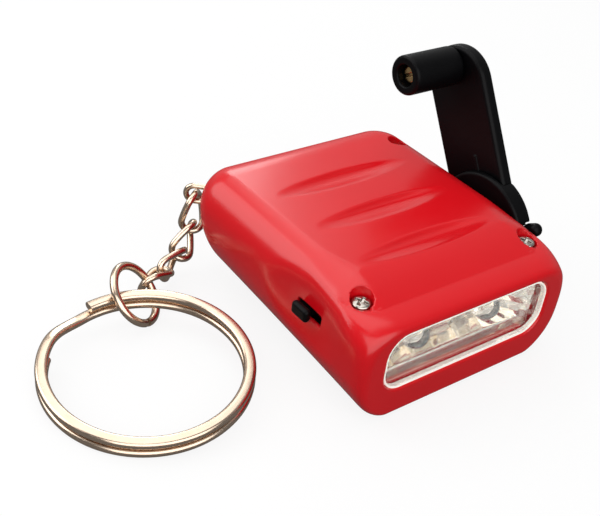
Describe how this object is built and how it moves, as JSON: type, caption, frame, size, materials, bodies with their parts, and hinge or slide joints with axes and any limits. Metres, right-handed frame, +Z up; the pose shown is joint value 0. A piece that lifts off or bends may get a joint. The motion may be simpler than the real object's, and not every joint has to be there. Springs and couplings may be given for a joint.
{
  "type": "hand crank flashlight",
  "caption": "Pocket flashlight in a rounded case with a folding side crank that drives a small generator, and a chain with a split key ring.",
  "frame": {"origin": "on the surface the case lies on, under the middle of the case", "axes": "+Z up; the lamps look along -Y; the crank is on +X and the key ring on -X"},
  "size_m": [0.0935, 0.057, 0.0443],
  "materials": {
    "case_red": "glossy moulded",
    "crank_black": "satin moulded",
    "lens_clear": "clear polished",
    "reflector_chrome": "vacuum plated",
    "lamp_clear": "clear epoxy",
    "nickel_steel": "bright nickel",
    "screw_steel": "zinc plated",
    "screw_brass": "turned brass",
    "pin_steel": "blackened steel",
    "magnet_ferrite": "sintered ferrite",
    "nylon_white": "moulded nylon",
    "copper_wire": "enamelled copper wire",
    "board_green": "soldermask",
    "diode_black": "moulded epoxy",
    "capacitor_sleeve": "shrink sleeve",
    "cell_steel": "nickel plated can",
    "inner_black": "moulded"
  },
  "bodies": {
    "case": {"top_shell": "case_red", "bottom_shell": "case_red", "lens": "lens_clear", "reflector": "reflector_chrome", "lamp_left": "lamp_clear", "lamp_right": "lamp_clear", "chain_eye": "nickel_steel", "case_screw_1": "screw_steel", "case_screw_2": "screw_steel", "case_screw_3": "screw_steel", "switch_body": "screw_steel", "contact_left": "screw_steel", "contact_right": "screw_steel", "idler_pin_1": "pin_steel", "idler_pin_2": "pin_steel", "stator_core": "pin_steel", "gear_plate": "nylon_white", "coil_bobbin": "nylon_white", "coil_winding": "copper_wire", "lamp_board": "board_green", "main_board": "board_green", "diode_1": "diode_black", "diode_2": "diode_black", "diode_3": "diode_black", "diode_4": "diode_black", "capacitor": "capacitor_sleeve", "cell_1": "cell_steel", "cell_2": "cell_steel", "cell_3": "cell_steel", "cell_cradle": "inner_black", "rotor_bracket": "inner_black"},
    "crank": {"crank_disc": "crank_black", "crank_axle": "pin_steel", "drive_gear": "nylon_white", "hinge_pin": "crank_black"},
    "crank_arm": {"crank_arm": "crank_black", "knob_screw": "screw_brass"},
    "crank_knob": {"crank_knob": "crank_black"},
    "idler_1": {"idler_gear_1": "nylon_white"},
    "idler_2": {"idler_gear_2": "nylon_white"},
    "rotor": {"rotor_pinion": "nylon_white", "rotor_shaft": "pin_steel", "rotor_magnet": "magnet_ferrite"},
    "switch": {"switch_slider": "crank_black"},
    "link_1": {"chain_link_1": "nickel_steel"},
    "link_2": {"chain_link_2": "nickel_steel"},
    "link_3": {"chain_link_3": "nickel_steel"},
    "link_4": {"chain_link_4": "nickel_steel"},
    "jump_ring": {"jump_ring": "nickel_steel"},
    "split_ring": {"split_ring": "nickel_steel"}
  },
  "joints": [
    {"name": "crank_spin", "type": "hinge", "parent": "case", "child": "crank", "pos_m": [0, -0.0035, 0.0135], "axis": [1, 0, 0], "range_deg": [-34, 284]},
    {"name": "crank_fold", "type": "hinge", "parent": "crank", "child": "crank_arm", "pos_m": [0.0266, -0.00455, 0.0118], "axis": [0, 0.8499, -0.527], "range_deg": [0, 180]},
    {"name": "knob_spin", "type": "hinge", "parent": "crank_arm", "child": "crank_knob", "pos_m": [0.0252, 0.01294, 0.04002], "axis": [1, 0, 0], "continuous": true},
    {"name": "idler_1_spin", "type": "hinge", "parent": "case", "child": "idler_1", "pos_m": [0, 0.00546, 0.0135], "axis": [1, 0, 0], "continuous": true},
    {"name": "idler_2_spin", "type": "hinge", "parent": "case", "child": "idler_2", "pos_m": [0, -0.00256, 0.0135], "axis": [1, 0, 0], "continuous": true},
    {"name": "rotor_spin", "type": "hinge", "parent": "case", "child": "rotor", "pos_m": [0, -0.01057, 0.0135], "axis": [1, 0, 0], "continuous": true},
    {"name": "switch_slide", "type": "slide", "parent": "case", "child": "switch", "axis": [0, -1, 0], "range_m": [0, 0.0028]},
    {"name": "link_1_swing", "type": "hinge", "parent": "case", "child": "link_1", "pos_m": [-0.0209, 0.0287, 0.01397], "axis": [-0.7513, 0.66, 0], "range_deg": [-10, 15]},
    {"name": "link_2_swing", "type": "hinge", "parent": "link_1", "child": "link_2", "pos_m": [-0.02229, 0.02746, 0.00843], "axis": [0.8544, -0.5101, -0.0993], "range_deg": [-15, 15]},
    {"name": "link_3_swing", "type": "hinge", "parent": "link_2", "child": "link_3", "pos_m": [-0.02604, 0.0252, 0.00455], "axis": [0.7398, -0.5389, -0.4029], "range_deg": [-15, 15]},
    {"name": "link_4_swing", "type": "hinge", "parent": "link_3", "child": "link_4", "pos_m": [-0.0312, 0.02255, 0.00373], "axis": [-0.2553, 0.2041, 0.9451], "range_deg": [-15, 15]},
    {"name": "jump_ring_swing", "type": "hinge", "parent": "link_4", "child": "jump_ring", "pos_m": [-0.0364, 0.01995, 0.00433], "axis": [0.2724, -0.3371, 0.9012], "range_deg": [-15, 15]},
    {"name": "split_ring_swing", "type": "hinge", "parent": "jump_ring", "child": "split_ring", "pos_m": [-0.04054, 0.0164, 0.00465], "axis": [-0.9188, 0.3928, -0.0386], "range_deg": [-5, 40]}
  ],
  "couplings": [
    {"joint": "idler_1_spin", "follows": "crank_spin", "ratio": -2.8},
    {"joint": "idler_2_spin", "follows": "crank_spin", "ratio": 6.72},
    {"joint": "rotor_spin", "follows": "crank_spin", "ratio": -16.128}
  ]
}
